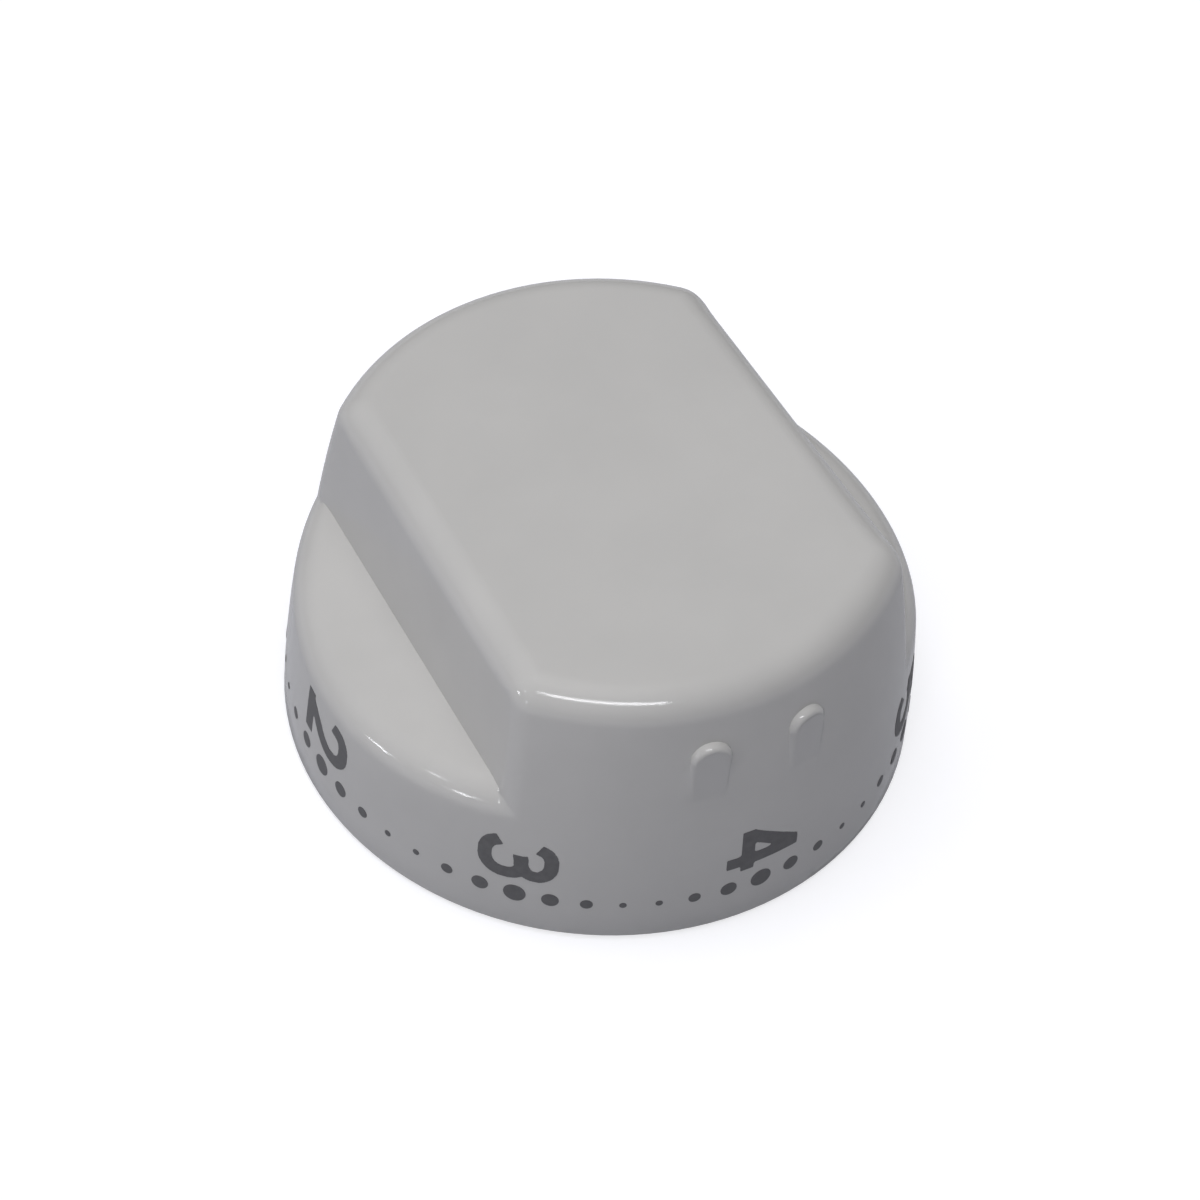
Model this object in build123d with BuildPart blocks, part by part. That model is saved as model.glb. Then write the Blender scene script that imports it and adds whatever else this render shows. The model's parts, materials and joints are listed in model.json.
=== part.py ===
from build123d import *
from math import radians, sqrt, tan
import os

os.makedirs("parts", exist_ok=True)

# An appliance control knob, such as sets a hob plate or a thermostat. Millimetres, +Z out of the panel.
# The origin is the centre of the rim that faces the panel, and the finger grip runs along Y.

# Turned form of the moulding
base_diameter = 42.0        # across the rim at the panel
knob_height = 21.2          # rim to the flat top
skirt_lean = 2.2            # how far the bowed skirt would have come in by the top
rim_bevel = 0.4             # softened outer edge of the rim
end_radius = 2.4            # round the front and back edges of the top

# Finger grip and the two finger shelves beside it
grip_width = 27.1           # across the middle of the grip's flat top, between its two walls
grip_draft = 5.2            # degrees that each grip wall leans in
grip_taper = 1.2            # degrees that each grip wall turns out towards the front end
shelf_height = 11.9         # top of a shelf at the foot of the grip wall
shelf_fall = 11.0           # degrees that a shelf falls outwards
edge_radius = 2.2           # along the top's sides, down the grip's corners and round the shelves

# Two touch pips on the front end of the grip, upright pads that are arched at the top and run out below
pip_width = 2.8
pip_rise = 0.45             # how far a pip stands out of the skirt at the middle of its arch
pip_height = 16.2           # middle of the arch above the rim
pip_length = 5.0            # from there down to the middle of the pip's foot inside the skirt
pip_bevel = 0.35            # round the edge of a pip's face
pip_spread = 10.0           # degrees from the grip's middle line to each pip

# Hollow underside
wall = 2.0                  # thickness of the moulding
boss_diameter = 16.0        # tube that takes the hub
boss_mouth = 3.0            # lower end of the boss above the rim
rib_thickness = 1.4
rib_lift = 4.0              # lower edges of the ribs above the rim

# Hub insert and its D-shaped bore
hub_diameter = 10.9
hub_length = 13.0           # above its flange
hub_fit = 0.05              # clearance all round between hub and boss
hub_lead = 0.6              # bevel that starts the hub into the boss
flange_diameter = 14.0
flange_thickness = 1.5
key_width = 2.0
key_height = 1.0            # rise of the locating key above the hub
shaft_diameter = 6.0
shaft_flat = 4.6            # shaft's size across its flat
shaft_fit = 0.05            # clearance all round between shaft and bore
bore_depth = 13.0
bore_lead = 0.5             # bevel at the mouth of the bore

# Spring clip in the slot behind the bore's flat
clip_thickness = 0.4
clip_width = 2.8
clip_side_gap = 0.1         # between the clip's edges and the slot
clip_bend = 0.5             # middle radius of the clip's turns
clip_leg_gap = 1.2          # between the middles of its two legs
clip_height = 10.5          # hairpin's top above the flange's lower face
clip_bow = 0.2              # how far the free leg stands proud of the bore's flat
clip_foot = 1.6             # length of the foot under the flange

base_radius = base_diameter / 2
past = base_diameter        # a length that reaches past the whole knob
wall_lean = tan(radians(grip_draft))
shelf_slope = tan(radians(shelf_fall))


def beside_grip(inset):
    """The space over both finger shelves, grown by inset into the grip and the shelves."""
    shelf = shelf_height - inset
    foot = grip_width / 2 + (knob_height - shelf) * wall_lean - inset
    with BuildPart() as space:
        for side in (1, -1):
            with BuildSketch(Plane.XZ.rotated((0, 0, side * grip_taper))):
                with BuildLine():
                    Polyline(
                        (side * foot, shelf),
                        (side * past, shelf - (past - foot) * shelf_slope),
                        (side * past, past),
                        (side * (foot - (past - shelf) * wall_lean), past),
                        close=True,
                    )
                make_face()
            extrude(amount=past, both=True)
    return space.part


# Solid that fills the inside of the moulding between its boss and ribs
with BuildPart() as hollow:
    with BuildSketch(Plane.XZ):
        with BuildLine():
            Polyline(
                (0, 0),
                (base_radius - wall, 0),
                (base_radius - wall - skirt_lean, knob_height - wall),
                (0, knob_height - wall),
                close=True,
            )
        make_face()
    revolve(axis=Axis.Z)
    add(beside_grip(wall), mode=Mode.SUBTRACT)
    with BuildSketch(Plane.XY.offset(boss_mouth)):
        Circle(boss_diameter / 2)
    extrude(amount=knob_height, mode=Mode.SUBTRACT)
    with BuildSketch(Plane.XY.offset(rib_lift)):
        Rectangle(base_diameter, rib_thickness)
        Rectangle(rib_thickness, base_diameter)
    extrude(amount=knob_height, mode=Mode.SUBTRACT)

# Touch pip, from the knob's axis out to its face in front of the bowed skirt
skirt_rise = knob_height - rim_bevel
skirt_bow = (skirt_lean ** 2 + skirt_rise ** 2) / (2 * skirt_lean)
pip_skirt = base_radius - skirt_bow + sqrt(skirt_bow ** 2 - (pip_height - rim_bevel) ** 2)
with BuildPart() as pip:
    with BuildSketch(Plane.XZ):
        with Locations((0, pip_height - pip_length / 2)):
            SlotCenterToCenter(pip_length, pip_width, rotation=90)
    extrude(amount=pip_skirt + pip_rise)
    chamfer(pip.faces().sort_by(Axis.Y)[0].edges(), length=pip_bevel)

# Moulded shell: skirt, shelves, grip, pips, boss and ribs
key_reach = hub_diameter / 2 + key_height
with BuildPart() as knob_shell:
    with BuildSketch(Plane.XZ) as profile:
        with BuildLine():
            skirt = TangentArc((base_radius, rim_bevel), (base_radius - skirt_lean, knob_height), tangent=(0, 1))
            Polyline(skirt @ 1, (0, knob_height), (0, 0), (base_radius - rim_bevel, 0), skirt @ 0)
        make_face()
        fillet(profile.vertices().group_by(Axis.Y)[-1].sort_by(Axis.X)[-1], radius=end_radius)
    revolve(axis=Axis.Z)
    add(beside_grip(0), mode=Mode.SUBTRACT)
    upper = knob_shell.edges().filter_by(lambda edge: edge.bounding_box().min.Z > shelf_height / 2)
    feet = upper.filter_by(GeomType.LINE).group_by(Axis.Z)[0]
    fillet(upper - feet - upper.filter_by(GeomType.CIRCLE), radius=edge_radius)
    for turn in (-pip_spread, pip_spread):
        add(pip.part, rotation=(0, 0, turn))
    add(hollow.part, mode=Mode.SUBTRACT)
    with BuildSketch(Plane.XY.offset(boss_mouth)):
        Circle(hub_diameter / 2 + hub_fit)
        with Locations((0, (key_reach + hub_fit) / 2)):
            Rectangle(key_width + 2 * hub_fit, key_reach + hub_fit)
    extrude(amount=knob_height - wall - boss_mouth, mode=Mode.SUBTRACT)

# Hub: keyed bush with a flange that seats on the boss, a D-shaped bore and a slot for the clip
hub_mouth = boss_mouth - flange_thickness
bore_radius = shaft_diameter / 2 + shaft_fit
bore_flat = shaft_diameter / 2 - shaft_flat - shaft_fit
slot_back = bore_flat - clip_leg_gap - clip_thickness
slot_width = clip_width + 2 * clip_side_gap
clip_back = slot_back + clip_thickness / 2
foot_tip = clip_back - clip_foot
with BuildPart() as shaft_hub:
    with BuildSketch(Plane.XY.offset(boss_mouth)):
        Circle(hub_diameter / 2)
        with Locations((0, key_reach / 2)):
            Rectangle(key_width, key_reach)
    extrude(amount=hub_length)
    chamfer(shaft_hub.faces().sort_by(Axis.Z)[-1].edges(), length=hub_lead)
    with BuildSketch(Plane.XY.offset(hub_mouth)):
        Circle(flange_diameter / 2)
    extrude(amount=flange_thickness)
    with BuildSketch(Plane.XY.offset(hub_mouth)):
        Circle(bore_radius)
        with Locations((0, bore_flat - bore_radius)):
            Rectangle(past, 2 * bore_radius, mode=Mode.SUBTRACT)
    extrude(amount=bore_depth, mode=Mode.SUBTRACT)
    chamfer(shaft_hub.faces().sort_by(Axis.Z)[0].inner_wires()[0].edges(), length=bore_lead)
    with BuildSketch(Plane.XY.offset(hub_mouth)):
        with Locations((0, slot_back / 2)):
            Rectangle(slot_width, -slot_back)
    extrude(amount=clip_height + clip_thickness, mode=Mode.SUBTRACT)
    with BuildSketch(Plane.XY.offset(hub_mouth)):
        with Locations((0, (foot_tip - clip_side_gap) / 2)):
            Rectangle(slot_width, clip_side_gap - foot_tip)
    extrude(amount=clip_thickness + clip_bend, mode=Mode.SUBTRACT)

# Spring clip: a strip bent into a hairpin, its back leg on the slot's wall and its free leg bowed at the shaft
clip_low = hub_mouth + clip_thickness / 2
clip_top = hub_mouth + clip_height - clip_thickness / 2
clip_front = clip_back + clip_leg_gap
clip_crest = bore_flat + clip_bow - clip_thickness / 2
with BuildPart() as spring_clip:
    with BuildSketch(Plane.YZ):
        with BuildLine():
            FilletPolyline(
                (foot_tip, clip_low),
                (clip_back, clip_low),
                (clip_back, clip_top),
                (clip_front, clip_top),
                (clip_crest, (clip_low + clip_top) / 2),
                (clip_front, clip_low + clip_leg_gap),
                radius=clip_bend,
            )
        trace(line_width=clip_thickness)
    extrude(amount=clip_width / 2, both=True)

for node, piece in (("knob_shell", knob_shell), ("shaft_hub", shaft_hub), ("spring_clip", spring_clip)):
    piece.part.label = node
    export_step(piece.part, f"parts/{node}.step")
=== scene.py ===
import bpy
import json
from math import cos, pi, radians, sin
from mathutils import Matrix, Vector

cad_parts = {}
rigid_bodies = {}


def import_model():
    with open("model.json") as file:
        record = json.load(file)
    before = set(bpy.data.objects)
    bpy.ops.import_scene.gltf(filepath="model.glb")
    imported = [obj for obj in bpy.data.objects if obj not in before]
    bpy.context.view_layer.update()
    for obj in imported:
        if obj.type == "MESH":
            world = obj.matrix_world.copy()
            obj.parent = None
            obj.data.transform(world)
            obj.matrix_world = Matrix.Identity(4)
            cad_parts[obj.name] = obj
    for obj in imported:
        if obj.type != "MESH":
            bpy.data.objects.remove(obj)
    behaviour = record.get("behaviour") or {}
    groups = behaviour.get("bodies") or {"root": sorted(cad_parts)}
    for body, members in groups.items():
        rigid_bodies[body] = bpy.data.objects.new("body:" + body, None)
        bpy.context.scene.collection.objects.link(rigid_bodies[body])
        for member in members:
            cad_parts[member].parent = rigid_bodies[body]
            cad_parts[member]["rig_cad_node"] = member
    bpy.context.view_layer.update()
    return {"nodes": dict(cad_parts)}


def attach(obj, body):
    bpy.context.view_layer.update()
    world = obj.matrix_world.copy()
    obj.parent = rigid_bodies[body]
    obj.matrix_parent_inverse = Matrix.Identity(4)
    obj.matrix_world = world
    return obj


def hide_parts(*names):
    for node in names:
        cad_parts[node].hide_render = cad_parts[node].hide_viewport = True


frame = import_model()

# Knob shell: grip, finger shelves and skirt in one piece, injection moulded in pale gloss plastic.
# Its surface is the CAD solid's own, welded and smoothed, with a moulding's faint cloudiness and grain.
# The boss underneath grips the hub.
mm = 0.001
shell_light = (0.590, 0.584, 0.572, 1.0)
shell_dark = (0.566, 0.561, 0.550, 1.0)
weld_distance = 0.002       # in millimetres
crease_angle = radians(50)
flat_angle = radians(0.2)   # faces that turn less than this are one flat
cloud_low = 0.35            # the noise's range that colour and gloss run over
cloud_high = 0.65
cloud_detail = 4
grain_detail = 2
grain_strength = 0.4


def skin_of(node, name):
    """A welded copy of a CAD node, smooth up to the crease angle, that is shown in the node's place."""
    bpy.ops.object.select_all(action="DESELECT")
    solid = frame["nodes"][node]
    solid.select_set(True)
    bpy.context.view_layer.objects.active = solid
    bpy.ops.object.duplicate()
    skin = bpy.context.object
    skin.name = name
    del skin["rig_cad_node"]
    bpy.ops.mesh.customdata_custom_splitnormals_clear()
    bpy.ops.object.mode_set(mode="EDIT")
    bpy.ops.mesh.select_all(action="SELECT")
    bpy.ops.mesh.remove_doubles(threshold=weld_distance * mm)
    bpy.ops.mesh.dissolve_limited(angle_limit=flat_angle)
    bpy.ops.object.mode_set(mode="OBJECT")
    bpy.ops.object.shade_smooth_by_angle(angle=crease_angle)
    even = skin.modifiers.new("even_normals", "WEIGHTED_NORMAL")
    even.keep_sharp = True
    bpy.ops.object.modifier_apply(modifier=even.name)
    skin.data.materials.clear()
    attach(skin, "root")
    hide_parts(node)
    return skin


def mottled(name, light, dark, cloud_size, gloss, dull, grain_size, grain_depth):
    """A finish whose colour and gloss drift a little over its surface, with a fine grain."""
    finish = bpy.data.materials.new(name)
    finish.use_nodes = True
    nodes = finish.node_tree.nodes
    links = finish.node_tree.links
    shader = nodes["Principled BSDF"]
    place = nodes.new("ShaderNodeTexCoord")
    clouds = nodes.new("ShaderNodeTexNoise")
    clouds.inputs["Scale"].default_value = 1 / cloud_size
    clouds.inputs["Detail"].default_value = cloud_detail
    links.new(place.outputs["Object"], clouds.inputs["Vector"])
    tint = nodes.new("ShaderNodeValToRGB")
    tint.color_ramp.elements[0].position = cloud_low
    tint.color_ramp.elements[0].color = dark
    tint.color_ramp.elements[1].position = cloud_high
    tint.color_ramp.elements[1].color = light
    links.new(clouds.outputs["Fac"], tint.inputs["Fac"])
    links.new(tint.outputs["Color"], shader.inputs["Base Color"])
    sheen = nodes.new("ShaderNodeMapRange")
    sheen.inputs["From Min"].default_value = cloud_low
    sheen.inputs["From Max"].default_value = cloud_high
    sheen.inputs["To Min"].default_value = gloss
    sheen.inputs["To Max"].default_value = dull
    links.new(clouds.outputs["Fac"], sheen.inputs["Value"])
    links.new(sheen.outputs["Result"], shader.inputs["Roughness"])
    grain = nodes.new("ShaderNodeTexNoise")
    grain.inputs["Scale"].default_value = 1 / grain_size
    grain.inputs["Detail"].default_value = grain_detail
    links.new(place.outputs["Object"], grain.inputs["Vector"])
    relief = nodes.new("ShaderNodeBump")
    relief.inputs["Strength"].default_value = grain_strength
    relief.inputs["Distance"].default_value = grain_depth
    links.new(grain.outputs["Fac"], relief.inputs["Height"])
    links.new(relief.outputs["Normal"], shader.inputs["Normal"])
    return finish


shell = skin_of("knob_shell", "knob_shell_skin")
white_moulding = mottled(
    "white_moulding",
    light=shell_light,
    dark=shell_dark,
    cloud_size=9 * mm,
    gloss=0.10,
    dull=0.14,
    grain_size=0.35 * mm,
    grain_depth=0.001 * mm,
)
shell.data.materials.append(white_moulding)

# Scale dots: a ring of pad-printed dots in dark grey ink low on the skirt, seven to a number.
# They shrink from each number to the middle of the step and grow again towards the next.
# They are laid onto the skin as a thin film.
scale_offset = 1.7          # degrees that the print is turned past the grip's middle line
number_step = 45.0          # degrees from one number to the next
dots_per_step = 7
dot_diameters = (1.5, 1.15, 0.83, 0.48, 0.48, 0.83, 1.15)
dot_corners = 28
dot_height = 3.57           # middle of the ring above the rim, in millimetres
skirt_reach = 20.9          # about the skirt's radius behind the print, in millimetres
ink_middle = 0.012          # of the film's thickness above the skin, in millimetres
ink_thickness = 0.03        # in millimetres, so that its back is sunk in the skin
ink_light = (0.142, 0.141, 0.145, 1.0)
ink_dark = (0.114, 0.113, 0.117, 1.0)
first_number = 0
last_number = 6
front_number = 4            # the number over the grip's front end
ink = mottled(
    "scale_ink",
    light=ink_light,
    dark=ink_dark,
    cloud_size=0.5 * mm,
    gloss=0.50,
    dull=0.62,
    grain_size=0.12 * mm,
    grain_depth=0.002 * mm,
)


def lay_on_skin(pieces, name):
    """Join flat printed pieces, wrap them onto the shell and give the ink its thickness."""
    bpy.ops.object.select_all(action="DESELECT")
    for piece in pieces:
        piece.select_set(True)
    bpy.context.view_layer.objects.active = pieces[0]
    bpy.ops.object.transform_apply(location=True, rotation=True, scale=True)
    bpy.ops.object.join()
    film = bpy.context.object
    film.name = name
    wrap = film.modifiers.new("onto_skin", "SHRINKWRAP")
    wrap.target = shell
    wrap.wrap_method = "NEAREST_SURFACEPOINT"
    wrap.wrap_mode = "ABOVE_SURFACE"
    wrap.offset = ink_middle * mm
    bpy.ops.object.modifier_apply(modifier=wrap.name)
    depth = film.modifiers.new("ink_depth", "SOLIDIFY")
    depth.thickness = ink_thickness * mm
    depth.offset = 0
    bpy.ops.object.modifier_apply(modifier=depth.name)
    bpy.ops.object.shade_smooth_by_angle(angle=crease_angle)
    film.data.materials.clear()
    film.data.materials.append(ink)
    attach(film, "root")


dots = []
for mark in range((last_number - first_number) * dots_per_step + 1):
    turn = radians(scale_offset + (first_number - front_number + mark / dots_per_step) * number_step)
    bpy.ops.object.select_all(action="DESELECT")
    bpy.ops.mesh.primitive_circle_add(
        vertices=dot_corners,
        radius=dot_diameters[mark % dots_per_step] / 2 * mm,
        fill_type="TRIFAN",
        location=(skirt_reach * mm * sin(turn), -skirt_reach * mm * cos(turn), dot_height * mm),
        rotation=(pi / 2, 0, turn),
    )
    dots.append(bpy.context.object)
lay_on_skin(dots, "scale_dots")

# Scale numbers: bold figures in the same ink above the dots, printed sideways, heads to the right.
# Each is drawn in broad strokes, flat ribbons along curves, which are joined into one outline.
# The figures are laid onto the skin as the dots are.
figure_height = 5.5         # along the skirt, in millimetres
figure_width = 3.9          # up the skirt, in millimetres
figure_stroke = 1.02        # in millimetres
figure_middle = 6.85        # above the rim, in millimetres
figure_grid = 0.08          # of the mesh that joins a figure's strokes, in millimetres
ribbon_steps = 8            # from one point of a stroke to the next
front_facing = 0.5          # least share of a face's normal that points to the reader
across = figure_width - figure_stroke
along = figure_height - figure_stroke
# Points of the strokes' middle lines, as shares of across and along
# A stroke that ends where it starts is closed
ring = (
    (0.5, 1), (0.9, 0.82), (1, 0.5), (0.9, 0.18), (0.5, 0),
    (0.1, 0.18), (0, 0.5), (0.1, 0.82), (0.5, 1),
)
ring_share = 0.62           # of the figure's height that the ring takes in the 6
bowl = ((0.86, 0.53), (1, 0.3), (0.86, 0.08), (0.5, 0), (0.14, 0.06), (-0.02, 0.21))
figure_strokes = {
    0: (ring,),
    1: (((0.14, 0.76), (0.64, 1.02)), ((0.62, 1.1), (0.62, -0.1))),
    2: (
        (
            (0, 0.7), (0.13, 0.92), (0.5, 1), (0.87, 0.92),
            (0.98, 0.71), (0.84, 0.48), (0.44, 0.24), (0.06, -0.02),
        ),
        ((-0.13, 0), (1.14, 0)),
    ),
    3: (
        ((0.03, 0.8), (0.15, 0.94), (0.48, 1), (0.83, 0.93), (0.95, 0.76), (0.8, 0.6), (0.36, 0.54)),
        ((0.36, 0.54),) + bowl,
    ),
    4: (((0.8, 1.1), (0.8, -0.1)), ((-0.15, 0.24), (1.14, 0.24)), ((0, 0.26), (0.78, 1.04))),
    5: (
        ((0.08, 1), (1.04, 1)),
        ((0.14, 1.1), (0.04, 0.5)),
        ((0.02, 0.54), (0.2, 0.61), (0.5, 0.64)) + bowl,
    ),
    6: (
        tuple((x, ring_share * y) for x, y in ring),
        ((0, 0.31), (0.04, 0.64), (0.2, 0.9), (0.55, 1), (0.86, 0.93), (0.98, 0.8)),
    ),
}
figures = []
for number, strokes in figure_strokes.items():
    turn = radians(scale_offset + (number - front_number) * number_step)
    bpy.ops.object.select_all(action="DESELECT")
    bpy.ops.curve.primitive_bezier_curve_add(
        location=(skirt_reach * mm * sin(turn), -skirt_reach * mm * cos(turn), figure_middle * mm),
        rotation=(pi / 2, pi / 2, turn),
    )
    drawing = bpy.context.object.data
    drawing.splines.clear()
    drawing.twist_mode = "Z_UP"
    drawing.extrude = figure_stroke / 2 * mm
    drawing.resolution_u = ribbon_steps
    for stroke in strokes:
        line = drawing.splines.new("BEZIER")
        line.use_cyclic_u = stroke[0] == stroke[-1]
        places = stroke[:-1] if line.use_cyclic_u else stroke
        line.bezier_points.add(len(places) - 1)
        for knot, (x, y) in zip(line.bezier_points, places):
            knot.co = ((x - 0.5) * across * mm, (y - 0.5) * along * mm, 0)
            knot.handle_left_type = "AUTO"
            knot.handle_right_type = "AUTO"
            knot.tilt = pi / 2
    bpy.ops.object.convert(target="MESH")
    figure = bpy.context.object
    body = figure.modifiers.new("stroke_body", "SOLIDIFY")
    body.thickness = figure_stroke * mm
    bpy.ops.object.modifier_apply(modifier=body.name)
    union = figure.modifiers.new("one_outline", "REMESH")
    union.mode = "VOXEL"
    union.voxel_size = figure_grid * mm
    bpy.ops.object.modifier_apply(modifier=union.name)
    # Only the side that faces the reader stays, as a flat print
    bpy.ops.object.mode_set(mode="EDIT")
    bpy.ops.mesh.select_mode(type="FACE")
    bpy.ops.mesh.select_all(action="DESELECT")
    bpy.ops.object.mode_set(mode="OBJECT")
    for face in figure.data.polygons:
        face.select = face.normal.z < front_facing
    bpy.ops.object.mode_set(mode="EDIT")
    bpy.ops.mesh.delete(type="FACE")
    bpy.ops.object.mode_set(mode="OBJECT")
    figures.append(figure)
lay_on_skin(figures, "scale_numbers")

# Shaft hub: a keyed bush with a flange and a D-shaped bore, moulded in grey filled plastic.
# It is pressed into the shell's boss from below and seats on its flange.
hub_light = (0.30, 0.30, 0.30, 1.0)
hub_dark = (0.26, 0.26, 0.262, 1.0)
hub = skin_of("shaft_hub", "shaft_hub_skin")
hub_plastic = mottled(
    "hub_plastic",
    light=hub_light,
    dark=hub_dark,
    cloud_size=3 * mm,
    gloss=0.45,
    dull=0.55,
    grain_size=0.25 * mm,
    grain_depth=0.004 * mm,
)
hub.data.materials.append(hub_plastic)

# Spring clip: a strip of spring steel bent into a hairpin, which presses on the shaft's flat.
# It is pushed into the slot behind the bore, with its foot under the flange.
steel_light = (0.56, 0.56, 0.55, 1.0)
steel_dark = (0.50, 0.50, 0.50, 1.0)
clip = skin_of("spring_clip", "spring_clip_skin")
steel = mottled(
    "spring_steel",
    light=steel_light,
    dark=steel_dark,
    cloud_size=0.8 * mm,
    gloss=0.22,
    dull=0.34,
    grain_size=0.05 * mm,
    grain_depth=0.001 * mm,
)
steel.node_tree.nodes["Principled BSDF"].inputs["Metallic"].default_value = 1.0
clip.data.materials.append(steel)

# Table: a pale matt sheet under the knob that runs out of view on all sides.
# To the eye it is white, and it still takes the knob's soft shadow. In the gloss it shows much dimmer.
table_gap = 0.02            # under the rim, in millimetres
table_size = 6              # in metres
table_colour = (0.43, 0.435, 0.475, 1.0)
table_roughness = 0.9
glow_to_eye = 0.68
glow_in_gloss = 0.15
bpy.ops.object.select_all(action="DESELECT")
bpy.ops.mesh.primitive_plane_add(size=table_size, location=(0, 0, -table_gap * mm))
table = bpy.context.object
table.name = "table"
bpy.ops.object.transform_apply(location=True)
sheet = bpy.data.materials.new("table_sheet")
sheet.use_nodes = True
nodes = sheet.node_tree.nodes
links = sheet.node_tree.links
paper = nodes["Principled BSDF"]
paper.inputs["Base Color"].default_value = table_colour
paper.inputs["Roughness"].default_value = table_roughness
paper.inputs["Specular IOR Level"].default_value = 0.0
glow = nodes.new("ShaderNodeEmission")
glow.inputs["Color"].default_value = (1.0, 1.0, 1.0, 1.0)
path = nodes.new("ShaderNodeLightPath")
gloss_rays = nodes.new("ShaderNodeMath")
gloss_rays.operation = "ADD"
links.new(path.outputs["Is Glossy Ray"], gloss_rays.inputs[0])
links.new(path.outputs["Is Transmission Ray"], gloss_rays.inputs[1])
gloss_share = nodes.new("ShaderNodeMath")
gloss_share.operation = "MULTIPLY"
gloss_share.inputs[1].default_value = glow_in_gloss
links.new(gloss_rays.outputs["Value"], gloss_share.inputs[0])
glow_strength = nodes.new("ShaderNodeMath")
glow_strength.operation = "MULTIPLY_ADD"
glow_strength.inputs[1].default_value = glow_to_eye
links.new(path.outputs["Is Camera Ray"], glow_strength.inputs[0])
links.new(gloss_share.outputs["Value"], glow_strength.inputs[2])
links.new(glow_strength.outputs["Value"], glow.inputs["Strength"])
both = nodes.new("ShaderNodeAddShader")
links.new(paper.outputs["BSDF"], both.inputs[0])
links.new(glow.outputs["Emission"], both.inputs[1])
links.new(both.outputs["Shader"], nodes["Material Output"].inputs["Surface"])
table.data.materials.append(sheet)

# Room: broad lamps overhead, at the sides and behind, which don't show in the gloss, and a strip in front.
# The strip draws the thin streak along the top's front edge, and three small low lamps on the left draw the
# glints on the finger shelf and on the grip's corner.
room_colour = (0.90, 0.93, 1.0, 1.0)
room_strength = 0.02
camera_turn = -32.57        # degrees from the grip's front end to the camera, about the knob's axis
lamp_distance = 0.8         # in metres
warm_light = (1.0, 0.99, 0.98)
cool_light = (0.96, 0.965, 1.0)
bpy.context.scene.view_settings.view_transform = "Standard"
room = bpy.data.worlds.new("room")
bpy.context.scene.world = room
room.use_nodes = True
backdrop = room.node_tree.nodes["Background"]
backdrop.inputs["Color"].default_value = room_colour
backdrop.inputs["Strength"].default_value = room_strength


def soft_lamp(name, side, height, width, depth, power, mirrored, tint=cool_light):
    """An oblong lamp that faces the knob, side degrees right of the camera and height degrees up."""
    turn = radians(camera_turn + side)
    level = cos(radians(height))
    aim = Vector((level * sin(turn), -level * cos(turn), sin(radians(height))))
    bpy.ops.object.select_all(action="DESELECT")
    bpy.ops.object.light_add(type="AREA", location=aim * lamp_distance)
    lamp = bpy.context.object
    lamp.name = name
    lamp.rotation_euler = aim.to_track_quat("Z", "Y").to_euler()
    lamp.data.shape = "RECTANGLE"
    lamp.data.size = width
    lamp.data.size_y = depth
    lamp.data.energy = power
    lamp.data.color = tint
    lamp.visible_glossy = mirrored


soft_lamp(
    "overhead", side=-100, height=82, width=0.5, depth=0.5, power=3.17, mirrored=False, tint=warm_light
)
soft_lamp("left_window", side=-90, height=35, width=0.5, depth=0.5, power=0.98, mirrored=False)
soft_lamp("right_window", side=90, height=58, width=0.5, depth=0.5, power=0.41, mirrored=False)
soft_lamp("back_window", side=145, height=25, width=0.5, depth=0.5, power=0.5, mirrored=False)
soft_lamp("front_strip", side=4, height=54, width=0.42, depth=0.09, power=1.72, mirrored=True)
soft_lamp("near_glint", side=-42, height=9.5, width=0.08, depth=0.05, power=0.31, mirrored=True)
soft_lamp("far_glint", side=-70, height=8, width=0.08, depth=0.05, power=0.31, mirrored=True)
soft_lamp("corner_glint", side=-57, height=29, width=0.04, depth=0.04, power=0.08, mirrored=True)

# Camera: a long lens that looks down on the knob from the left of the grip's front end.
# Its place, turn and lens are fitted to the knob's outline, its ring of dots and the grip's edges.
camera_place = (-0.11004, -0.17163, 0.24553)
camera_angles = (40.6248, -3.8045, -28.1493)
camera_lens = 141.87        # in millimetres, as is the sensor
camera_sensor = 36
bpy.ops.object.camera_add(location=camera_place, rotation=[radians(angle) for angle in camera_angles])
camera = bpy.context.object
camera.data.lens = camera_lens
camera.data.sensor_width = camera_sensor
bpy.context.scene.camera = camera
